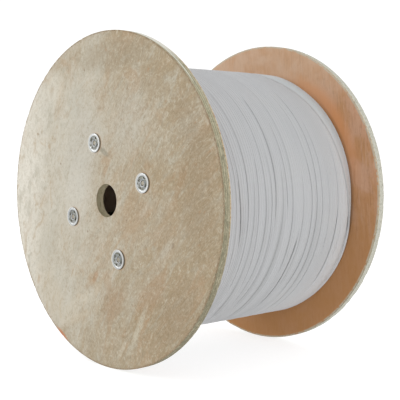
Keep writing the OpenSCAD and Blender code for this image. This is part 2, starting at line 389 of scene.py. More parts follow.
class Finish:
    """A material being mixed: each call adds a node and gives back its output."""

    def __init__(self, name):
        self.material = bpy.data.materials.new(name)
        self.material.use_nodes = True
        self.tree = self.material.node_tree
        self.tree.nodes.clear()
        self.place = self.tree.nodes.new("ShaderNodeTexCoord").outputs["Object"]

    def node(self, kind, inputs=(), **settings):
        return add_node(self.tree, "ShaderNode" + kind, inputs, **settings)

    def math(self, operation, a, b=0.0, clamp=False):
        return self.node("Math", {0: a, 1: b}, operation=operation, use_clamp=clamp).outputs[0]

    def plus(self, a, b):
        return self.math("ADD", a, b)

    def minus(self, a, b):
        return self.math("SUBTRACT", a, b)

    def apart(self, a, b):
        return self.math("ABSOLUTE", self.minus(a, b))

    def larger(self, a, b):
        return self.math("MAXIMUM", a, b)

    def times(self, first, *others):
        for other in others:
            first = self.math("MULTIPLY", first, other)
        return first

    def split(self, vector):
        return tuple(self.node("SeparateXYZ", {0: vector}).outputs)

    def combine(self, x=0.0, y=0.0, z=0.0):
        return self.node("CombineXYZ", {0: x, 1: y, 2: z}).outputs[0]

    def length(self, *vector):
        if len(vector) > 1:
            vector = [self.combine(*vector)]
        return self.node("VectorMath", {0: vector[0]}, operation="LENGTH").outputs["Value"]

    def laid(self, sizes, turn=(0, 0, 0), shift=(0, 0, 0)):
        """The place turned so that a pattern's x, y and z repeat over these sizes in metres."""
        turned_place = self.node("Mapping", {"Vector": self.place, "Rotation": turn,
                                             "Location": shift}, vector_type="POINT").outputs[0]
        scale = tuple(1 / s for s in sizes)
        return self.node("Mapping", {"Vector": turned_place, "Scale": scale},
                         vector_type="POINT").outputs[0]

    def rod_distance(self, x, z):
        """The distance of a place from the axis of the nearest tie rod."""
        radius = self.length(x, 0.0, z)
        between_rods = 2 * math.pi / RODS
        angle = self.minus(self.math("ARCTAN2", z, x), ROD_ANGLE)
        whole = self.math("ROUND", self.times(angle, 1 / between_rods))
        angle = self.minus(angle, self.times(whole, between_rods))
        out = self.minus(self.times(radius, self.math("COSINE", angle)), ROD_CIRCLE_R)
        return self.length(out, self.times(radius, self.math("SINE", angle)))

    def stain(self, x, z, lean, long, wide, ragged=None):
        """One soft stain on the outer face of the front flange: where it is, how far it leans
        over to the right in degrees, and half its length and width, in mm."""
        at = self.node("Mapping", {
            "Vector": self.place, "Location": (x * MM, -OUTER_FACE_Y, z * MM),
            "Rotation": (0, math.radians(lean), 0), "Scale": (wide * MM, 0.1, long * MM)},
            vector_type="TEXTURE").outputs[0]
        out = self.length(at)
        if ragged is not None:
            return self.between(self.plus(out, self.times(ragged, 1.4)), 1.75, 0.9)
        return self.between(out, 1.1, 0.2)

    def noise(self, at, detail=2.0, roughness=0.5, distortion=0.0, output="Fac"):
        return self.node("TexNoise", {
            "Vector": at, "Scale": 1.0, "Detail": detail, "Roughness": roughness,
            "Distortion": distortion}).outputs[output]

    def cells(self, at):
        return self.node("TexVoronoi", {"Vector": at, "Scale": 1.0}).outputs["Distance"]

    def between(self, value, low, high, to_low=0.0, to_high=1.0):
        """Takes value from low..high to to_low..to_high, smoothly and no further."""
        made = self.node("MapRange", {"Value": value, "From Min": low, "From Max": high,
                                      "To Min": to_low, "To Max": to_high},
                         interpolation_type="SMOOTHSTEP")
        return made.outputs["Result"]

    def blend(self, amount, a, b):
        a, b = (value + (1.0,) if isinstance(value, tuple) else value for value in (a, b))
        return self.node("Mix", {0: amount, 6: a, 7: b}, data_type="RGBA").outputs[2]

    def coated(self, colour, *coats):
        """The colour with coats over it in turn: each a tint, how much of it, and where it lies,
        given as outputs or as what between() takes."""
        for tint, amount, *places in coats:
            for place in places:
                place = self.between(*place) if isinstance(place, tuple) else place
                amount = self.math("MULTIPLY", place, amount)
            colour = self.blend(amount, colour, tint)
        return colour

    def mixed(self, amount, a, b):
        return self.node("Mix", {0: amount, 2: a, 3: b}).outputs[0]

    def bump(self, height, distance, strength):
        return self.node("Bump", {"Height": height, "Distance": distance,
                                  "Strength": strength}).outputs[0]

    def surface(self, colour, roughness, normal, **fixed):
        fixed = {key.replace("_", " "): value for key, value in fixed.items()}
        shader = self.node("BsdfPrincipled", {
            "Base Color": colour, "Roughness": roughness, "Normal": normal, **fixed})
        self.node("OutputMaterial", {"Surface": shader.outputs[0]})
        return self.material


def outer_veneer(f, x, z, side, radius):
    """Weathered veneer with its grain, stains and wear, and painted shadows beside the tee nuts: its
    colour, height and roughness.
    """
    # The grain leans further over the further it is to the right, and wanders
    bend_x, _, bend_z = f.split(f.noise(f.laid((0.11, 0.5, 0.11), shift=(0.31, 0, 0.17)),
                                        output="Color"))
    across = f.plus(f.times(f.plus(x, 0.325), f.math("EXPONENT", f.times(z, -1.6))),
                    f.times(bend_x, 0.036))
    along = f.plus(z, f.times(bend_z, 0.036))

    def grain(wide, long, seed, *looks, at=(across, along)):
        return f.noise(f.combine(f.times(at[0], 1 / wide), f.plus(side, seed),
                                 f.times(at[1], 1 / long)), *looks)

    patches = grain(0.050, 0.085, 3.1, 3.0, 0.55, 0.6)
    clouds = grain(0.018, 0.032, 7.7, 4.0, 0.6, 0.7)
    soaked = grain(0.034, 0.060, 15.3, 3.0, 0.6, 0.8)
    strokes = grain(0.0030, 0.0062, 5.9, 3.0, 0.65, 0.8)
    pale = grain(0.012, 0.050, 9.4, 3.0, 0.55, 0.7)
    flecks = grain(0.0042, 0.008, 12.8, 2.0, 0.5, 0.2)
    mottle = grain(0.0042, 0.0050, 1.3, 4.0, 0.7, 1.0, at=(x, z))
    clumps = grain(0.0100, 0.0115, 21.4, 4.0, 0.62, 1.5, at=(x, z))

    # Pale and grey on the left, brown on the right and at the top and bottom
    brown = f.plus(f.between(f.minus(x, f.times(z, 0.22)), -0.17, 0.20),
                   f.times(f.minus(patches, 0.5), 1.45))
    brown = f.plus(brown, f.between(z, 0.12, 0.24, 0.0, 0.35))
    brown = f.math("ADD", brown, f.between(z, -0.12, -0.25, 0.0, 0.2), clamp=True)
    veneer = f.coated(
        f.blend(brown, (0.435, 0.409, 0.343), (0.291, 0.226, 0.138)),
        ((0.59, 0.565, 0.50), 0.92, (f.plus(x, f.times(patches, 0.06)), -0.09, -0.22)),
        ((0.345, 0.325, 0.262), 0.55, (clouds, 0.50, 0.70)),
        ((0.335, 0.25, 0.155), 0.55, (clouds, 0.47, 0.30)),
        ((0.325, 0.215, 0.12), 0.52, (soaked, 0.50, 0.68), (brown, 0.15, 0.6, 0.25, 1.0)),
        ((0.40, 0.375, 0.31), 0.32, (soaked, 0.45, 0.28)),
        ((0.46, 0.43, 0.36), 0.25, (pale, 0.58, 0.76)),
        ((0.27, 0.215, 0.14), 0.36, (clumps, 0.50, 0.34), (brown, 0.0, 0.5, 0.6, 1.0)),
        ((0.475, 0.44, 0.36), 0.40, (clumps, 0.52, 0.68)))
    ragged = f.minus(clouds, 0.15)
    for place, tint, amount in STAINS:
        veneer = f.coated(veneer, (tint, amount, f.stain(*place, ragged=ragged)))

    torn = f.between(brown, 0.0, 0.75, 0.54, 1.0)
    pits = f.cells(f.laid((0.05, 0.5, 0.05), (0, 0.4, 0)))
    from_left = f.rod_distance(f.plus(x, 2 * MM), z)
    from_right = f.rod_distance(f.minus(x, 2 * MM), z)
    veneer = f.coated(
        veneer,
        # Short dark and light strokes of torn grain, strongest where the veneer is brown
        ((0.195, 0.15, 0.085), 0.60, (mottle, 0.52, 0.28), torn),
        ((0.49, 0.445, 0.35), 0.42, (mottle, 0.50, 0.72), torn),
        ((0.205, 0.155, 0.09), 0.50, (strokes, 0.48, 0.30), torn),
        ((0.50, 0.465, 0.375), 0.40, (strokes, 0.54, 0.72), torn),
        ((0.30, 0.17, 0.08), 0.60, (flecks, 0.64, 0.78), brown),
        ((0.17, 0.11, 0.06), 0.65, (pits, 0.045, 0.02)),
        # The rim of the face is rubbed, chipped and dirty, and in one place rusty
        ((0.27, 0.195, 0.11), 0.35, (clouds, 0.40, 0.65),
         (radius, FLANGE_R - 7 * MM, FLANGE_R - 0.5 * MM)),
        ((0.17, 0.115, 0.065), 0.75, (mottle, 0.44, 0.56),
         (radius, FLANGE_R - 3.2 * MM, FLANGE_R - 1.2 * MM)),
        ((0.40, 0.14, 0.05), 0.85, f.stain(-118, -218, -58, 22, 5)),
        # Rubbed pale to the left of the tee nuts and washers; to the right a painted shadow of each
        # proud nut, dark beside it and fading out through rust brown
        ((0.60, 0.60, 0.55), 0.75, (from_left, TEE_R + 1.1 * MM, TEE_R - 0.1 * MM)),
        ((0.38, 0.22, 0.115), 0.35, (clouds, 0.3, 0.55),
         (from_right, TEE_R + 2.5 * MM, TEE_R + 0.5 * MM)),
        ((0.11, 0.075, 0.035), 0.85, (from_right, TEE_R + 0.4 * MM, TEE_R - 0.7 * MM)))
    return veneer, f.plus(strokes, mottle), f.between(mottle, 0.3, 0.7, 0.58, 0.76)


def inner_veneer(f, z, radius):
    """Reddish veneer with straight pores, with painted warm bounce light beside the winding: its
    colour and height."""
    pores = f.noise(f.laid((0.0026, 0.5, 0.024), (0, math.radians(3), 0), (0.4, 0, 0)), 4.0, 0.68)
    streaks = f.noise(f.laid((0.0075, 0.5, 0.048), (0, math.radians(4), 0), (0.8, 0, 0)), 3.0, 0.6)
    blotch = f.noise(f.laid((0.040, 0.5, 0.052), (0, 0.3, 0), (0.2, 0, 0.5)), 3.0, 0.55, 0.5)
    grit = f.noise(f.laid((0.0055, 0.5, 0.0075), (0, 0.2, 0), (0.6, 0, 0.1)), 3.0, 0.65)
    inner = f.coated(
        f.blend(f.between(blotch, 0.38, 0.62), (0.485, 0.285, 0.18), (0.43, 0.225, 0.105)),
        ((0.50, 0.315, 0.215), 0.60, (streaks, 0.50, 0.72)),
        ((0.40, 0.19, 0.085), 0.35, (streaks, 0.46, 0.28)),
        ((0.27, 0.135, 0.06), 0.50, (pores, 0.50, 0.72)),
        ((0.58, 0.39, 0.26), 0.42, (pores, 0.46, 0.27)),
        ((0.30, 0.16, 0.075), 0.35, (grit, 0.53, 0.72)),
        # Painted warm bounce light beside the winding, paler and greyer at the top, darker low down,
        # worn at the rim, and painted shade where the winding touches it
        ((0.60, 0.27, 0.115), 0.8, (radius, 0.229, 0.208), (z, -0.02, 0.14), (z, 0.215, 0.17)),
        ((0.49, 0.36, 0.255), 0.68, (z, 0.12, 0.23), (blotch, 0.3, 0.7, 1.0, 0.55)),
        ((0.355, 0.173, 0.063), 0.8, (z, 0.035, -0.105)),
        ((0.42, 0.40, 0.32), 0.8, (grit, 0.35, 0.5),
         (radius, FLANGE_R - 3.4 * MM, FLANGE_R - 1.8 * MM)),
        ((0.15, 0.075, 0.03), 0.4, (z, 0.175, 0.12),
         (radius, WOUND_R + 0.3 * MM, WOUND_R - 4.4 * MM)))
    return inner, pores


def plies(f, x, y, z, depth, radius):
    """Seven plies, blurred by smears, end grain and filler where they meet the rim and the
    holes: their colour and height."""
    smears = f.noise(f.laid((0.0075, 0.0026, 0.0075), shift=(0.3, 0, 0)), 3.0, 0.6)
    ply = f.plus(f.times(depth, 7 / FLANGE_T), f.times(smears, 0.5))
    crossed = f.math("MODULO", f.math("FLOOR", ply), 2.0)
    in_ply = f.math("FRACT", ply)
    glue = f.larger(f.between(in_ply, 0.14, 0.0), f.between(in_ply, 0.9, 1.0))
    specks = f.noise(f.laid((0.0032, 0.0020, 0.0032)), 3.0, 0.65)
    chunks = f.noise(f.laid((0.011, 0.0042, 0.011), shift=(0.7, 0, 0.2)), 2.0, 0.5)
    gaps = f.cells(f.laid((0.020, 0.006, 0.020)))
    tone = f.plus(f.times(crossed, 0.34), f.times(smears, 0.85))
    reddish = f.blend(f.between(specks, 0.38, 0.55), (0.36, 0.19, 0.095), (0.50, 0.415, 0.29))
    pale_back_rim = f.blend(f.between(specks, 0.52, 0.36), (0.515, 0.51, 0.45), (0.33, 0.33, 0.28))
    # Painted highlight on the front flange's rim: pale near its top, and a pale streak on it starts lower
    top_highlight = f.times(f.between(z, 0.190, 0.224), f.between(x, 0.02, 0.05),
                    f.between(depth, 0.0106, 0.0088))
    streak = f.times(f.between(f.apart(depth, 0.0085), 0.0013, 0.0007),
                     f.between(z, 0.155, 0.185, 0.0, 0.8))
    wall = f.coated(
        f.blend(f.between(depth, 0.010, 0.002), (0.37, 0.325, 0.21), (0.58, 0.51, 0.35)),
        ((0.21, 0.17, 0.095), 0.65, (smears, 0.50, 0.62)),
        ((0.16, 0.12, 0.065), 0.60, (depth, 0.0112, 0.0126)))
    edge = f.coated(
        f.blend(f.between(tone, 0.38, 0.85), (0.41, 0.375, 0.262), (0.235, 0.228, 0.15)),
        # Darker towards the bottom, then specks and chunks of end grain, gaps and glue
        ((0.158, 0.14, 0.086), 1.0, (z, 0.24, -0.19), (radius, 0.03, 0.2, 0.5, 0.8)),
        ((0.50, 0.46, 0.35), 0.50, (specks, 0.53, 0.70)),
        ((0.10, 0.09, 0.055), 0.65, (specks, 0.45, 0.28)),
        ((0.47, 0.425, 0.31), 0.50, (chunks, 0.58, 0.70)),
        ((0.125, 0.12, 0.08), 0.55, (chunks, 0.43, 0.31)),
        ((0.07, 0.06, 0.04), 0.70, (gaps, 0.11, 0.05)),
        ((0.17, 0.145, 0.09), 0.22, glue),
        # The outer veneer's edge is brown, and the inner one's reddish but for low down
        ((0.20, 0.13, 0.07), 0.8, (depth, 0.0112, 0.0119), (specks, 0.35, 0.6)),
        (reddish, 0.85, (depth, 0.0026, 0.0018), (smears, 0.36, 0.52, 0.25, 1.0),
         (z, -0.14, 0.04)),
        # The back flange's rim is paler
        (pale_back_rim, 0.75, (y, -0.01, 0.01), (radius, 0.2, 0.24), (depth, 0.0018, 0.0026)),
        # Painted highlight on the front flange's rim, near its top and in a streak lower down
        ((0.63, 0.62, 0.56), 1.0, f.larger(top_highlight, streak), (specks, 0.28, 0.42, 0.45, 0.92),
         (y, 0.0, -0.01)),
        # The arbor holes' walls are cleaner, and painted shade darkens the wood under the tee nuts' windows
        (wall, 0.8, (radius, 0.030, 0.026)),
        ((0.24, 0.235, 0.20), 0.85, (f.rod_distance(x, z), 0.0125, 0.0115)))
    return edge, specks


def plywood_finish():
    """Plywood that knows its own depth: weathered veneer on the outer face, plies and glue lines
    on the rim, in chips and in holes, and reddish veneer on the inner face."""
    f = Finish("plywood")
    x, y, z = f.split(f.place)
    depth = f.minus(f.math("ABSOLUTE", y), INNER_FACE_Y)
    radius = f.length(x, 0.0, z)
    veneer, torn, rough = outer_veneer(f, x, z, f.math("SIGN", y), radius)
    inner, pores = inner_veneer(f, z, radius)
    edge, specks = plies(f, x, y, z, depth, radius)
    on_outer = f.between(depth, FLANGE_T - 0.18 * MM, FLANGE_T - 0.1 * MM)
    on_inner = f.between(depth, 0.12 * MM, 0.04 * MM)
    colour = f.blend(on_inner, f.blend(on_outer, edge, veneer), inner)
    height = f.mixed(on_inner, f.mixed(on_outer, specks, torn), pores)
    return f.surface(colour, f.mixed(on_outer, 0.85, rough), f.bump(height, 0.15 * MM, 0.6),
                     Specular_IOR_Level=0.3)


def cable_finish():
    """Matt grey plastic sheath: a faint drift of tone along its run and scuffs, with painted shade
    in the hollows of the winding and beside the crossing turn, and painted light beside the back
    flange and on the underside."""
    f = Finish("grey_sheath")
    # The colour of the painted shade in the winding's hollows and beside the crossing turn
    painted_shade = (0.19, 0.195, 0.19)
    x, y, z = f.split(f.place)
    radius = f.length(x, 0.0, z)
    turn = f.times(f.math("ARCTAN2", z, x), 180 / math.pi)
    run = f.node("Attribute", attribute_name="run").outputs["Fac"]
    drift = f.noise(f.combine(f.times(run, 1.7)), 2.0)
    dust = f.noise(f.laid((0.06, 0.05, 0.06)), 2.0)
    scuffs = f.noise(f.laid((0.010, 0.004, 0.010), shift=(0.2, 0.1, 0.5)), 2.0, 0.5)
    # How low a turn lies, and how far past the crossing turn
    low = f.minus(f.minus(WOUND_R, f.times(f.math("DIVIDE", z, radius), HANG)), radius)
    crossing = f.minus(CROSSING_AT - INNER_FACE_Y, f.times(turn, CROSSING_LEAN))
    crossing = f.plus(crossing, f.between(f.apart(turn, BULGE_AT), 34.0, 4.0, 0.0, BULGE))
    past = f.minus(y, crossing)
    before = f.larger(f.between(past, 0.0, -3 * MM), f.between(turn, -20.0, -30.0))
    before = f.larger(before, f.between(turn, 88.0, 104.0))
    colour = f.coated(
        f.blend(f.between(drift, 0.3, 0.7), (0.386, 0.392, 0.401), (0.398, 0.403, 0.412)),
        ((0.408, 0.408, 0.408), 0.3, (dust, 0.45, 0.75)),
        ((0.37, 0.37, 0.367), 0.2, (scuffs, 0.68, 0.80)),
        # Painted shade where a turn lies low in the winding
        (painted_shade, 0.38, (low, 0.9 * MM, 3.2 * MM), before),
        (painted_shade, 0.15, (low, 0.45 * MM, 2.2 * MM), before))
    # A band of painted shade for each place where the turns have sunk
    for place, wide, top, bottom, amount in HOLLOWS:
        off = f.apart(y, place * MM - INNER_FACE_Y)
        colour = f.coated(colour, (painted_shade, amount, (off, wide * MM, 0.0), (turn, top, top - 15),
                                   (turn, bottom, bottom + 15)))
    # Painted light: lighter beside the back flange and on the underside, lifting the shade there
    by_flange = f.times(f.math("POWER", f.between(y, 0.075, 0.147), 3.0),
                        f.between(f.math("ABSOLUTE", z), 0.03, 0.13, 0.55, 0.95),
                        f.between(z, -0.15, -0.02, 0.65, 1.0), f.between(z, 0.03, 0.12, 1.0, 0.88))
    below = f.times(f.between(z, -0.09, -0.185), f.between(y, 0.02, 0.11, 0.0, 0.28))
    painted_light = f.minus(f.plus(by_flange, below), f.times(by_flange, below))
    colour = f.coated(
        colour,
        ((0.58, 0.585, 0.595), 1.0, painted_light),
        # Bluer past the crossing turn on the upper side, a painted cool shade against the warm light
        # bounced off the back flange, and a painted shadow line beside that turn
        ((0.445, 0.505, 0.53), 0.6, (past, 1 * MM, 6 * MM), (turn, 12.0, 30.0),
         (turn, 92.0, 62.0)),
        (painted_shade, 1.0, (f.apart(past, -0.6 * MM), 1.7 * MM, 0.5 * MM),
         (turn, 80.0, 30.0, 0.12, 0.42), (turn, -22.0, -8.0), (turn, 100.0, 84.0)))
    return f.surface(colour, f.between(scuffs, 0.3, 0.7, 0.45, 0.55),
                     f.bump(scuffs, 0.03 * MM, 0.2), Specular_IOR_Level=0.4)


def zinc_finish(name, bright, dull, rough):
    """Zinc plate: bright on rings and edges, dull in blots; on a tee nut a painted reflection
    darkens the stained dish and greys the left of the ring, and painted shade darkens its right edge.
    """
    f = Finish(name)
    x, y, z = f.split(f.place)
    blots = f.noise(f.laid((0.0035, 0.0035, 0.0035)), 4.0, 0.6)
    wiped = f.noise(f.laid((0.0003, 0.006, 0.004), (0, 0, 0.6)), 2.0)
    in_front = f.between(y, 0.0, -0.01)
    # Painted reflection: the dish is dark, and darkest at its upper right
    upper = f.minus(f.rod_distance(f.plus(x, 3 * MM), f.plus(z, 3 * MM)), f.rod_distance(x, z))
    dark = f.blend(f.between(upper, -3 * MM, 3 * MM), (0.36, 0.365, 0.355), (0.165, 0.175, 0.18))
    dark = f.coated(dark, ((0.13, 0.13, 0.10), 1.0, (blots, 0.42, 0.62)))
    colour = f.coated(
        bright,
        (dull, 0.7, (blots, 0.45, 0.8)),
        # Painted reflection greys the left of each ring, and painted shade darkens its edge on the right
        (dull, 0.8, in_front, (f.rod_distance(f.minus(x, 4.5 * MM), z), 0.0130, 0.0175)),
        ((0.10, 0.08, 0.05), 0.8, in_front,
         (f.rod_distance(f.plus(x, 1.5 * MM), z), 0.0139, 0.0150)),
        (dark, 1.0, in_front, (f.rod_distance(f.plus(x, 0.9 * MM), z), 0.0110, 0.0102),
         (f.rod_distance(x, f.plus(z, 0.5 * MM)), 0.0047, 0.0053)),
        (bright, 0.3, (wiped, 0.62, 0.78)))
    return f.surface(colour, f.between(blots, 0.3, 0.7, rough, rough + 0.15),
                     f.bump(wiped, 0.03 * MM, 0.25), Metallic=1.0)


def board_finish():
    """Wound paper board: grey brown, with the spiral joints of its outer strip."""
    f = Finish("paper_board")
    x, y, z = f.split(f.place)
    spiral = f.math("FRACT", f.plus(f.times(y, 1 / 0.11),
                                    f.times(f.math("ARCTAN2", z, x), 1 / (2 * math.pi))))
    joint = f.larger(f.between(spiral, 0.02, 0.0), f.between(spiral, 0.98, 1.0))
    pulp = f.noise(f.laid((0.003, 0.003, 0.003)), 4.0, 0.65)
    clouds = f.noise(f.laid((0.05, 0.05, 0.05)), 2.0)
    colour = f.coated(
        f.blend(f.between(clouds, 0.3, 0.7), (0.66, 0.54, 0.44), (0.58, 0.47, 0.38)),
        ((0.70, 0.58, 0.47), 0.5, (pulp, 0.55, 0.75)),
        ((0.24, 0.18, 0.13), 0.6, joint))
    return f.surface(colour, f.between(pulp, 0.3, 0.7, 0.8, 0.92), f.bump(pulp, 0.1 * MM, 0.4))


def floor_finish():
    """A pale light table, which glows enough to keep the shadows on it faint."""
    f = Finish("pale_floor")
    haze = f.noise(f.laid((0.8, 0.8, 0.8)), 2.0)
    grit = f.noise(f.laid((0.004, 0.004, 0.004)), 2.0)
    colour = f.blend(f.between(haze, 0.3, 0.7), (0.34, 0.34, 0.34), (0.36, 0.36, 0.36))
    return f.surface(colour, 0.85, f.bump(grit, 0.1 * MM, 0.1), Emission_Color=(1, 1, 1, 1),
                     Emission_Strength=0.74)


# ---------------------------------------------------------------- flanges
RIM_POINTS = 1080
FACE_STEPS = (0.032, 0.06, 0.12, 0.18, 0.225, 0.243)      # radii of the outer face's rings


def round_the_rim():
    """For each place round the rim: its number, and a point at its angle on a circle of 1."""
    for i in range(RIM_POINTS):
        angle = 2 * math.pi * i / RIM_POINTS
        yield i, Vector((math.cos(angle), math.sin(angle), 0))


def rim_wear(rng, chips):
    """How far the rim's corner is worn away at each place round it, in metres."""
    start = rng.uniform(0, 50)
    wear = []
    for _, here in round_the_rim():
        coarse = noise.noise(here * 9 + Vector((0, 0, start)))
        fine = noise.noise(here * 70 + Vector((0, 0, start + 7)))
        wear.append((0.42 + 0.22 * coarse + 0.16 * fine) * MM)
    for _ in range(chips):
        middle = rng.uniform(0, RIM_POINTS)
        half = rng.choice((1.2, 1.6, 2.2, 3, 5))
        deep = rng.uniform(0.5, 1.9) * MM
        for i in range(int(middle - half) - 1, int(middle + half) + 2):
            near = 1 - ((i - middle) / half) ** 2
            if near > 0:
                wear[i % RIM_POINTS] += deep * math.sqrt(near) * (0.75 + 0.25 * math.sin(i * 2.3))
    return wear


def flange(name, seed, chips, face, *cutters):
    """A plywood disc with its arbor hole, barrel groove and worn corners, cut by the solids of
    its holes and seats and stood on its face."""
    rng = random.Random(seed)
    outer_wear = rim_wear(rng, chips)
    inner_wear = rim_wear(rng, chips // 2)
    groove_out = BARREL_R + SEAT_CLEARANCE
    groove_in = BARREL_R - BARREL_WALL - SEAT_CLEARANCE
    outside = [(radius, 0) for radius in FACE_STEPS]
    rings = []
    for i, here in round_the_rim():
        saw = [0.12 * MM * (1 + noise.noise(here * 60 + Vector((0, 0, seed + 3 * k))))
               for k in range(3)]
        bore = 0.25 * MM + 0.12 * MM * (1 + noise.noise(here * 6 + Vector((0, 0, seed + 20))))
        outer, inner = outer_wear[i], inner_wear[i]
        rings.append([
            (ARBOR_R, -FLANGE_T + bore), (ARBOR_R, -FLANGE_T / 2), (ARBOR_R, -bore),
            (ARBOR_R + bore, 0), *outside, (FLANGE_R - outer, 0),
            (FLANGE_R - 0.3 * outer, -0.28 * outer), (FLANGE_R - saw[0], -0.9 * outer),
            (FLANGE_R - saw[0], -FLANGE_T * 0.35), (FLANGE_R - saw[1], -FLANGE_T * 0.62),
            (FLANGE_R - saw[2], -FLANGE_T + 0.9 * inner),
            (FLANGE_R - 0.3 * inner, -FLANGE_T + 0.28 * inner), (FLANGE_R - inner, -FLANGE_T),
            (0.243, -FLANGE_T), (0.21, -FLANGE_T), (groove_out, -FLANGE_T),
            (groove_out, -FLANGE_T + GROOVE_DEPTH), (groove_in, -FLANGE_T + GROOVE_DEPTH),
            (groove_in, -FLANGE_T), (0.06, -FLANGE_T), (ARBOR_R + bore, -FLANGE_T)])
    mesh = turned(name, rings, closed=True)
    for cutter in cutters:
        mesh = cut(mesh, cutter)
    mesh.transform(face)
    return mesh


def drum(name, radius, low, high, count=48):
    return turned(name, [[(0, low), (radius, low), (radius, high), (0, high)]] * count)


# ---------------------------------------------------------------- fasteners, z = 0 on the plywood
def tee_nut():
    """A pressed tee nut: rolled ring, dished zone with four windows, barrel and bent prongs."""
    top = TEE_PROUD
    outline = [
        (THREAD_R, -TEE_BARREL), (TEE_BARREL_R, -TEE_BARREL), (TEE_BARREL_R, -TEE_SUNK - 0.4 * MM),
        (TEE_BARREL_R + 0.4 * MM, -TEE_SUNK), (TEE_R - 0.2 * MM, -TEE_SUNK),
        (TEE_R, -TEE_SUNK + 0.3 * MM), (TEE_R, top * 0.35), (TEE_R - 0.15 * MM, top * 0.7),
        (TEE_R - 0.45 * MM, top * 0.93), (TEE_R - 0.9 * MM, top), (TEE_DISH_R + 0.9 * MM, top),
        (TEE_DISH_R + 0.35 * MM, top * 0.9), (TEE_DISH_R - 0.1 * MM, top - TEE_DISH),
        (TEE_BARREL_R + 0.6 * MM, top - TEE_DISH), (TEE_BARREL_R + 0.45 * MM, top * 0.62),
        (TEE_BARREL_R + 0.25 * MM, top * 0.9), (TEE_BARREL_R, top),
        (THREAD_R + 0.5 * MM, top), (THREAD_R, top - 0.45 * MM)]
    plate = turned("tee_plate", [outline] * 72, closed=True)
    windows, prongs = [], []
    for k in range(PRONGS):
        swing = Matrix.Rotation(math.radians(45 + 90 * k), 4, "Z")
        window = block("window", (WINDOW_NEAR, -WINDOW_HALF, -3 * MM),
                       (WINDOW_FAR, WINDOW_HALF, 3 * MM))
        window.transform(swing)
        windows.append(window)
        points = [(PRONG_NEAR + thick, dy, dz) for thick in (0, PRONG_T)
                  for dy, dz in ((-PRONG_HALF, PRONG_TOP), (PRONG_HALF, PRONG_TOP),
                                 (0, -PRONG_DEPTH))]
        prong = mesh_from("prong", points, [(0, 1, 2), (5, 4, 3), (0, 3, 4, 1), (1, 4, 5, 2),
                                            (2, 5, 3, 0)])
        face_outwards(prong)
        prong.transform(swing)
        prongs.append(prong)
    return joined("tee_nut", [cut(plate, joined("windows", windows))] + prongs)


def tie_rod():
    """A rod with a rolled thread at both ends, from inside the tee nut to past the hex nut."""
    top = TEE_PROUD - ROD_RECESS
    length = top + 2 * OUTER_FACE_Y + WASHER_T + NUT_H + ROD_STUB
    threaded, thread_pitch, thread_depth, sides = 26 * MM, 1.25 * MM, 0.62 * MM, 32
    heights = [0.0]
    step = thread_pitch / 4
    while heights[-1] < threaded:
        heights.append(heights[-1] + step)
    heights += [length - z for z in reversed(heights)]
    rings = []
    for i in range(sides):
        ring = [(0, top)]
        for z in heights:
            in_thread = z < threaded or z > length - threaded
            wave = abs(((z / thread_pitch - i / sides) % 1.0) * 2 - 1)
            radius = ROD_R - 0.02 * MM - (thread_depth * wave if in_thread else 0.35 * MM)
            end = min(z, length - z)
            if end < 0.7 * MM:
                radius = min(radius, ROD_R - 0.8 * MM + end)
            ring.append((radius, top - z))
        ring.append((0, top - length))
        rings.append(ring)
    return turned("tie_rod", rings)


def washer():
    radius, bevel, top = WASHER_R, 0.25 * MM, WASHER_T
    outline = [
        (THREAD_R, bevel), (THREAD_R + bevel, 0), (radius - bevel, 0), (radius, bevel),
        (radius, top - 2 * bevel), (radius - 0.6 * bevel, top - 0.6 * bevel),
        (radius - 2 * bevel, top), (THREAD_R + bevel, top), (THREAD_R, top - bevel)]
    return turned("washer", [outline] * 64, closed=True)


def hex_nut():
    """A hex nut chamfered on both faces, with the start of its thread."""
    count, lead, low, high = 72, 0.7 * MM, WASHER_T, WASHER_T + NUT_H
    circle = NUT_FLATS / 2 - 0.1 * MM
    rings = []
    for i in range(count):
        angle = 2 * math.pi * i / count
        flat = NUT_FLATS / 2 / math.cos((angle + math.pi / 6) % (math.pi / 3) - math.pi / 6)
        drop = max(0.0, flat - circle) * 0.55
        rings.append([
            (THREAD_R, low + lead), (THREAD_R + lead, low), (circle, low), (flat, low + drop),
            (flat, low + NUT_H / 2), (flat, high - drop), (circle, high),
            (THREAD_R + lead, high), (THREAD_R, high - lead)])
    return turned("hex_nut", rings, closed=True)


# ---------------------------------------------------------------- the winding
def ease(t):
    t = min(1.0, max(0.0, t))
    return t * t * (3 - 2 * t)


def degrees_round(angle):
    """The angle in degrees from -180 to 180."""
    return (math.degrees(angle) + 180) % 360 - 180


def on_reel(radius, s, angle):
    """The point at a radius and an angle, s metres from the front flange."""
    return Vector((radius * math.cos(angle), s - INNER_FACE_Y, radius * math.sin(angle)))


def low_end(s, angle):
    """How far the winding falls away beside the back flange, past the crossing turn, at s metres
    from the front flange."""
    deg = degrees_round(angle)
    deep = 5.3 - 4.1 * ease((deg - 55) / 30) - 3.7 * ease((-2 - deg) / 20)
    edge = crossing_place(angle)
    past = (s - edge) / (TRAVERSE - CABLE_D - edge)
    beside = 1.6 * math.exp(-((s - edge) / (2.4 * MM)) ** 2) if -24 < deg < 84 else 0.0
    return (deep * min(1.0, max(0.0, past)) ** 1.2 + beside) * MM


def crossing_place(angle):
    """How far from the front flange the crossing turn lies, before it meets the back flange."""
    deg = degrees_round(angle)
    edge = CROSSING_AT - CROSSING_LEAN * min(deg, 80)
    edge += BULGE * math.exp(-((deg - BULGE_AT) / 18) ** 2)
    edge += 50 * MM * ease((deg - 80) / 60)
    return min(edge, (310 + 2 * ease((-8 - deg) / 12) * ease((80 + deg) / 15)) * MM)


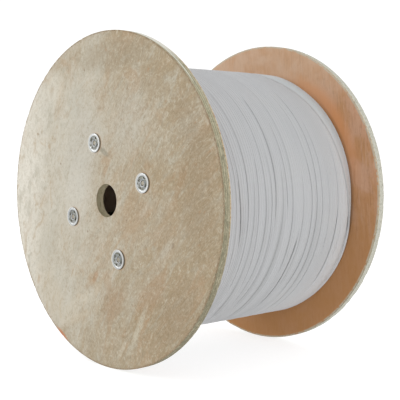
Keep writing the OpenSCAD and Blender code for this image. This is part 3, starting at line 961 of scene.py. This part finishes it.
def aside(path, deg):
    """How far a seam lies aside at an angle, in mm; none round the back."""
    value = path[0][1] if deg < path[0][0] else path[-1][1]
    for (low, from_mm), (high, to_mm) in zip(path, path[1:]):
        if low <= deg <= high:
            value = from_mm + (to_mm - from_mm) * ease((deg - low) / (high - low))
    return value * ease((130 - abs(deg)) / 50)


def seam_place(place):
    """The nearest place between two turns."""
    return CABLE_GAP + PITCH * round((place * MM - CABLE_GAP) / PITCH)


def seams_at(angle):
    """The seams at an angle and their twins: (place, mm aside, mm open, mm deep, whether it is a
    twin)."""
    found = []
    for twin in (False, True):
        deg = degrees_round(angle + (math.pi if twin else 0))
        for place, gap, sag, path in SEAMS:
            shift = aside(path, deg)
            shown = min(ease((deg - path[0][0]) / 8), ease((path[-1][0] - deg) / 8))
            wide, low, high = GAPES.get(place, (0, 0, 0))
            gap = gap * shown + wide * min(ease((deg - low) / 8), ease((high - deg) / 8))
            if twin:
                place, shift = TRAVERSE / MM - place, -shift
            found.append((seam_place(place), shift, gap, sag * shown, twin))
    return found


def relief(s, angle, seams):
    """How far the winding's surface is off its mean radius at s metres from the front flange."""
    here = Vector((math.cos(angle), math.sin(angle), 0))
    low_side = 0.35 + 0.65 * ease((30 - degrees_round(angle)) / 50)
    off = 0.45 * low_side * noise.noise(here * 0.9 + Vector((0, 0, s / 0.010)))
    off += 0.15 * noise.noise(here * 1.5 + Vector((9, 0, s / 0.0055)))
    for place, _, _, deep, _ in seams:
        if deep and abs(s - place) < 3 * SEAM_REACH:
            off -= deep * low_side * math.exp(-((s - place) / SEAM_REACH) ** 2)
    return off * MM - HANG * math.sin(angle) - low_end(s, angle)


def sideways(s, angle, seams):
    """How far a turn lies to the side of its own place: drawn along by the seams on either side
    of it, and pushed off by the open ones."""
    here = Vector((math.cos(angle), math.sin(angle), 0))
    off = 0.5 * MM * noise.noise(here * 0.8 + Vector((0, 5, s / 0.045)))
    for twins in (False, True):
        guides = sorted((place, shift) for place, shift, _, _, twin in seams if twin == twins)
        guides = [(0.0, 0.0)] + guides + [(TRAVERSE, 0.0)]
        for (low, from_mm), (high, to_mm) in zip(guides, guides[1:]):
            if low <= s < high:
                off += (from_mm + (to_mm - from_mm) * (s - low) / (high - low)) * MM
                break
    for place, _, wide, _, _ in seams:
        away = s - place
        if wide and abs(away) < 0.03:
            push = math.exp(-abs(away) / 0.006) * away / (abs(away) + 0.0004)
            off += 0.5 * wide * MM * push
    return off * max(0.0, min(1.0, s / 0.012, (TRAVERSE - s) / 0.012))


def winding_point(s, angle, seams):
    radius = WOUND_R - CABLE_D / 2 + relief(s, angle, seams)
    return on_reel(radius, s + sideways(s, angle, seams), angle)


def dive(side, angle, start):
    """The bend by which a cable's end goes down into the layers below; side is -1 where it comes
    up and 1 where it goes down."""
    out = Vector((math.cos(angle), 0, math.sin(angle)))
    along = Vector((-math.sin(angle), 0, math.cos(angle)))
    return [start + out * (DIVE_R * (math.cos(t) - 1)) + along * (side * DIVE_R * math.sin(t))
            for t in (math.radians(15 * k) for k in range(1, 6))]


def outer_turns_route():
    """The outer layer: turns that lie square to the axis and step sideways to the next one over
    the last quarter turn."""
    first = CABLE_GAP + PITCH / 2
    seams = [seams_at(LEAD_ANGLE + 2 * math.pi * k / TURN_POINTS) for k in range(TURN_POINTS)]
    route = []
    for k in range(TURNS * TURN_POINTS - STEP_POINTS + 1):
        turn, point = divmod(k, TURN_POINTS)
        step = ease((point - TURN_POINTS + STEP_POINTS) / STEP_POINTS)
        angle = LEAD_ANGLE + 2 * math.pi * k / TURN_POINTS
        route.append(winding_point(first + PITCH * (turn + step), angle, seams[point]))
    return dive(-1, LEAD_ANGLE, route[0])[::-1] + route + dive(1, angle, route[-1])


def crossing_turn_route():
    """The last turn, which crosses the winding on the edge of the low step and ends beside the
    back flange."""
    at_flange = TRAVERSE - CABLE_GAP - CABLE_D / 2
    points = []
    for deg in range(104, -112, -2):
        angle = math.radians(deg)
        s = min(crossing_place(angle) + 0.6 * MM, at_flange) if deg >= -22 else at_flange
        over = -2.3 + 0.9 * ease((-2 - deg) / 20) - 1.5 * ease((-30 - deg) / 50)
        over -= 7 * (ease((deg - 88) / 16) + ease((-94 - deg) / 16))
        points.append(on_reel(WOUND_R - HANG * math.sin(angle) + over * MM, s, angle))
    return smoothed(points, 4)


def smoothed(points, rounds):
    for _ in range(rounds):
        points = [points[0]] + [(points[i - 1] + 2 * points[i] + points[i + 1]) / 4
                                for i in range(1, len(points) - 1)] + [points[-1]]
    return points


def inner_turns_mesh():
    """The layers below: a ribbed body just under the outer turns, down to the barrel."""
    steps = TURNS * 4
    side = INNER_FACE_Y - CABLE_GAP
    rings = []
    for i in range(TURN_POINTS):
        # Turned shapes are made about +Z and stood on Y below, which runs their angle backwards
        angle = -2 * math.pi * i / TURN_POINTS
        seams = seams_at(angle)
        ring = [(BARREL_R + CABLE_GAP, -side)]
        for k in range(steps + 1):
            s = CABLE_GAP + PITCH * k / 4
            deep = max([0.0] + [min(1.0, wide) for place, _, wide, _, _ in seams
                                if abs(s - place) < 0.6 * MM])
            end = min(1.0, k / 2, (steps - k) / 2)
            radius = WOUND_R + relief(s, angle, seams) - (0.5 + 2.6 * deep + 1.5 * (1 - end)) * MM
            y = s + sideways(s, angle, seams) * end - INNER_FACE_Y
            ring.append((radius, min(max(y, -side), side)))
        ring.append((BARREL_R + CABLE_GAP, side))
        rings.append(ring)
    mesh = turned("cable_inner_turns", rings, closed=True)
    mesh.transform(Matrix.Rotation(-math.pi / 2, 4, "X"))
    return mesh


# ---------------------------------------------------------------- camera, light and floor
def stood(name, data, place, aim):
    """A camera or a lamp, placed and aimed."""
    thing = bpy.data.objects.new(name, data)
    scene.collection.objects.link(thing)
    thing.location = place
    thing.rotation_euler = (Vector(aim) - Vector(place)).to_track_quat("-Z", "Y").to_euler()
    return thing


def stand_camera():
    camera = bpy.data.cameras.new("camera")
    camera.sensor_width = 36
    camera.lens = 80.98
    camera.clip_end = 60
    scene.camera = stood("camera", camera, (1.0714, -0.9733, 0.0829), (0.0089, 0.0094, -0.0062))


def soft_light(name, place, aim, size, power, colour=(1, 1, 1)):
    lamp = bpy.data.lights.new(name, "AREA")
    lamp.shape = "DISK"
    lamp.size, lamp.energy, lamp.color = size, power, colour
    stood(name, lamp, place, aim)


def light_studio():
    world = bpy.data.worlds.new("white_room")
    world.use_nodes = True
    back = world.node_tree.nodes["Background"]
    back.inputs["Color"].default_value = (1, 1, 1, 1)
    back.inputs["Strength"].default_value = 1.1
    scene.world = world
    scene.view_settings.view_transform = "Standard"
    soft_light("left_box", (-1.5, -1.9, 0.7), (0, -0.1, 0), 1.0, 16, (1.0, 0.99, 0.97))
    soft_light("right_box", (2.4, 0.3, 0.15), (0, 0.05, -0.05), 1.2, 9)


def lay_floor():
    count, radius, low = 96, 14.0, -FLANGE_R
    points = [(0, 0, low)] + [(radius * math.cos(2 * math.pi * k / count),
                               radius * math.sin(2 * math.pi * k / count), low)
                              for k in range(count)]
    faces = [(0, 1 + k, 1 + (k + 1) % count) for k in range(count)]
    add_piece("floor", mesh_from("floor", points, faces), floor_finish())


# ---------------------------------------------------------------- putting the reel together
def settle(piece, slot, *nodes):
    """The piece rides on the reel and stands for these solids, which it hides; the slot is not used."""
    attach(piece, BODY)
    if nodes:
        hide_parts(*nodes)


def fastener(name, mesh, finish, face, first_angle, node):
    """One kind of fastener, repeated on the four rods and stood on its face."""
    four = on_rods(name, mesh, first_angle, Finish=finish)
    four.transform(face)
    settle(add_piece(name, four, None, 40), "zinc", *(f"{node}_{k + 1}" for k in range(RODS)))


def cable_piece(name, route, finish):
    """A cable swept along a route."""
    line = mesh_from(name + "_line", route, [], [(k, k + 1) for k in range(len(route) - 1)])
    return add_piece(name, grown(name, line, SWEPT_CABLE, {
        "Cable Diameter": CABLE_D, "Cable Sides": CABLE_SIDES, "Finish": finish}))


stand_camera()
light_studio()
lay_floor()

plywood = plywood_finish()
sheath = cable_finish()
zinc = zinc_finish("bright_zinc", (0.48, 0.49, 0.49), (0.31, 0.325, 0.335), 0.34)
dull_zinc = zinc_finish("dull_zinc", (0.28, 0.26, 0.215), (0.13, 0.115, 0.08), 0.42)
board = board_finish()

tee_shanks = on_rods("tee_shanks", drum("shank", TEE_BARREL_R + 0.1 * MM, -0.02, 0.01), ROD_ANGLE)
tee_seats = on_rods("tee_seats", drum("seat", TEE_R + 0.1 * MM, -TEE_SUNK, 0.01, 72), ROD_ANGLE)
rod_holes = on_rods("rod_holes", drum("hole", ROD_R + 0.3 * MM, -0.02, 0.01), -ROD_ANGLE)

front = add_piece("front_plywood", flange("front_plywood", 4, 34, ON_FRONT, tee_shanks, tee_seats),
                  plywood, 35)
settle(front, "plywood", "front_flange")
back = add_piece("back_plywood", flange("back_plywood", 9, 30, ON_BACK, rod_holes), plywood, 35)
settle(back, "plywood", "back_flange")

fastener("pressed_tee_nuts", tee_nut(), zinc, ON_FRONT, ROD_ANGLE, "tee_nut")
fastener("threaded_tie_rods", tie_rod(), dull_zinc, ON_FRONT, ROD_ANGLE, "tie_rod")
fastener("flat_washers", washer(), zinc, ON_BACK, -ROD_ANGLE, "washer")
fastener("hex_nuts", hex_nut(), zinc, ON_BACK, -ROD_ANGLE, "hex_nut")

outer_turns = cable_piece("cable_outer_turns", outer_turns_route(), sheath)
settle(outer_turns, "cable", "cable_outer_layer")
crossing_turn = cable_piece("cable_crossing_turn", crossing_turn_route(), sheath)
settle(crossing_turn, "cable")
inner_turns = add_piece("cable_inner_turns", inner_turns_mesh(), sheath, 60)
settle(inner_turns, "cable", "cable_inner_layers")

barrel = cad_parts["barrel"]
barrel.data.materials.clear()
barrel.data.materials.append(board)
